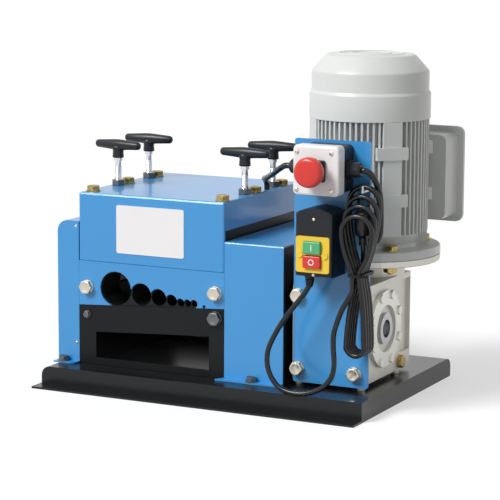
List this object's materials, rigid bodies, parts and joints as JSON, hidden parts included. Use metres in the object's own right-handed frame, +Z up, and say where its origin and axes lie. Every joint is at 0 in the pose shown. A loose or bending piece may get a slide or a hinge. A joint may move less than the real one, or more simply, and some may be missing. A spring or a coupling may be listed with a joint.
{
  "type": "wire stripping machine",
  "caption": "Bench wire stripping machine: a gear motor drives knurled rollers in a sheet metal head, and T handles set the blade depth over a row of feed holes",
  "frame": {"origin": "on the bench under the middle of the machine's box", "axes": "+X to the machine's right along its front, +Y to its back, +Z up"},
  "size_m": [0.5128, 0.3716, 0.4699],
  "materials": {
    "blue_enamel": "gloss blue enamel on folded steel sheet",
    "black_powder_coat": "black powder coat on steel",
    "turned_steel": "turned and ground steel",
    "die_cast_aluminium": "die cast aluminium, shot blasted",
    "grey_enamel": "light grey enamel on cast and pressed motor parts",
    "yellow_zinc": "yellow zinc plated steel",
    "chromed_steel": "bright plated steel",
    "black_phenolic": "moulded black phenolic",
    "white_plastic": "moulded white plastic",
    "slate_plastic": "moulded dark grey plastic",
    "red_plastic": "moulded red plastic",
    "green_plastic": "moulded green plastic",
    "yellow_plastic": "moulded yellow plastic",
    "black_pvc": "soft black PVC sheath",
    "black_nylon": "black nylon"
  },
  "bodies": {
    "frame": {"base_tray": "black_powder_coat", "side_plate_left": "black_powder_coat", "side_plate_right": "black_powder_coat", "tie_bar_low": "turned_steel", "tie_bar_rear": "turned_steel", "tie_bar_front": "turned_steel", "head_cover": "blue_enamel", "front_panel": "blue_enamel", "feed_guide": "black_nylon", "lower_front_plate": "black_powder_coat", "lower_rear_plate": "black_powder_coat", "gear_cover": "blue_enamel", "coupling_box": "blue_enamel", "coupling_side_plate": "black_powder_coat", "control_post": "blue_enamel", "gearbox_housing": "die_cast_aluminium", "gearbox_ring_cover": "die_cast_aluminium", "oil_plug": "yellow_zinc", "gearbox_input_flange": "die_cast_aluminium", "motor_end_shield": "grey_enamel", "motor_body": "grey_enamel", "fan_cowl": "grey_enamel", "terminal_box": "grey_enamel", "terminal_lid": "grey_enamel", "estop_body": "slate_plastic", "estop_lid": "white_plastic", "estop_bezel": "black_phenolic", "switch_box": "slate_plastic", "switch_plate": "yellow_plastic", "estop_lead_left": "black_pvc", "estop_lead_right": "black_pvc", "mains_cord": "black_pvc", "cord_hank": "black_pvc", "mains_plug": "black_pvc", "twist_tie": "black_nylon", "cord_hook": "turned_steel"},
    "motor": {"motor_rotor": "black_nylon"},
    "drive": {"drive_roller": "turned_steel", "output_hub": "turned_steel"},
    "idler": {"idler_gear": "turned_steel"},
    "rear": {"rear_roller": "turned_steel"},
    "carriage_front": {"block_front_left": "die_cast_aluminium", "block_front_right": "die_cast_aluminium"},
    "blades": {"blade_shaft": "turned_steel"},
    "carriage_rear": {"block_rear_left": "die_cast_aluminium", "block_rear_right": "die_cast_aluminium"},
    "press_roller": {"upper_roller": "turned_steel"},
    "handle_a": {"t_handle_a": "black_phenolic", "t_screw_a": "chromed_steel"},
    "handle_b": {"t_handle_b": "black_phenolic", "t_screw_b": "chromed_steel"},
    "handle_c": {"t_handle_c": "black_phenolic", "t_screw_c": "chromed_steel"},
    "handle_d": {"t_handle_d": "black_phenolic", "t_screw_d": "chromed_steel"},
    "estop_push": {"estop_stem": "black_nylon"},
    "estop_knob": {"estop_cap": "red_plastic"},
    "start": {"start_button": "green_plastic"},
    "stop": {"stop_button": "red_plastic"}
  },
  "joints": [
    {"name": "rotor_spin", "type": "hinge", "parent": "frame", "child": "motor", "pos_m": [0.1564, 0.035, 0.3], "axis": [0, 0, 1], "continuous": true},
    {"name": "drive_spin", "type": "hinge", "parent": "frame", "child": "drive", "pos_m": [0, -0.028, 0.101], "axis": [1, 0, 0], "continuous": true},
    {"name": "idler_spin", "type": "hinge", "parent": "frame", "child": "idler", "pos_m": [-0.229, 0.017, 0.101], "axis": [1, 0, 0], "continuous": true},
    {"name": "rear_spin", "type": "hinge", "parent": "frame", "child": "rear", "pos_m": [-0.1, 0.062, 0.101], "axis": [1, 0, 0], "continuous": true},
    {"name": "front_lift", "type": "slide", "parent": "frame", "child": "carriage_front", "axis": [0, 0, 1], "range_m": [-0.003, 0.006]},
    {"name": "rear_lift", "type": "slide", "parent": "frame", "child": "carriage_rear", "axis": [0, 0, 1], "range_m": [-0.003, 0.006]},
    {"name": "blade_spin", "type": "hinge", "parent": "carriage_front", "child": "blades", "pos_m": [-0.1, -0.028, 0.1504], "axis": [1, 0, 0], "continuous": true},
    {"name": "press_spin", "type": "hinge", "parent": "carriage_rear", "child": "press_roller", "pos_m": [-0.1, 0.062, 0.1504], "axis": [1, 0, 0], "continuous": true},
    {"name": "handle_a_turn", "type": "hinge", "parent": "carriage_front", "child": "handle_a", "pos_m": [-0.206, -0.028, 0.3], "axis": [0, 0, 1], "range_deg": [-725, 1445]},
    {"name": "handle_b_turn", "type": "hinge", "parent": "carriage_rear", "child": "handle_b", "pos_m": [-0.206, 0.062, 0.3], "axis": [0, 0, 1], "range_deg": [-725, 1445]},
    {"name": "handle_c_turn", "type": "hinge", "parent": "carriage_front", "child": "handle_c", "pos_m": [-0.0038, -0.028, 0.3], "axis": [0, 0, 1], "range_deg": [-725, 1445]},
    {"name": "handle_d_turn", "type": "hinge", "parent": "carriage_rear", "child": "handle_d", "pos_m": [-0.0038, 0.062, 0.3], "axis": [0, 0, 1], "range_deg": [-725, 1445]},
    {"name": "estop_press", "type": "slide", "parent": "frame", "child": "estop_push", "axis": [0, 1, 0], "range_m": [0, 0.005]},
    {"name": "estop_twist", "type": "hinge", "parent": "estop_push", "child": "estop_knob", "pos_m": [0.1621, -0.17, 0.328], "axis": [0, 1, 0], "range_deg": [0, 40], "stiffness_Nm_per_rad": 0.05},
    {"name": "start_press", "type": "slide", "parent": "frame", "child": "start", "axis": [0, 1, 0], "range_m": [0, 0.003], "stiffness_N_per_m": 400},
    {"name": "stop_press", "type": "slide", "parent": "frame", "child": "stop", "axis": [0, 1, 0], "range_m": [0, 0.003], "stiffness_N_per_m": 400}
  ],
  "couplings": [
    {"joint": "drive_spin", "follows": "rotor_spin", "ratio": 0.025},
    {"joint": "idler_spin", "follows": "rotor_spin", "ratio": -0.028571},
    {"joint": "rear_spin", "follows": "rotor_spin", "ratio": 0.025},
    {"joint": "handle_a_turn", "follows": "front_lift", "rad_per_m": 4188.8},
    {"joint": "handle_c_turn", "follows": "front_lift", "rad_per_m": 4188.8},
    {"joint": "handle_b_turn", "follows": "rear_lift", "rad_per_m": 4188.8},
    {"joint": "handle_d_turn", "follows": "rear_lift", "rad_per_m": 4188.8}
  ]
}
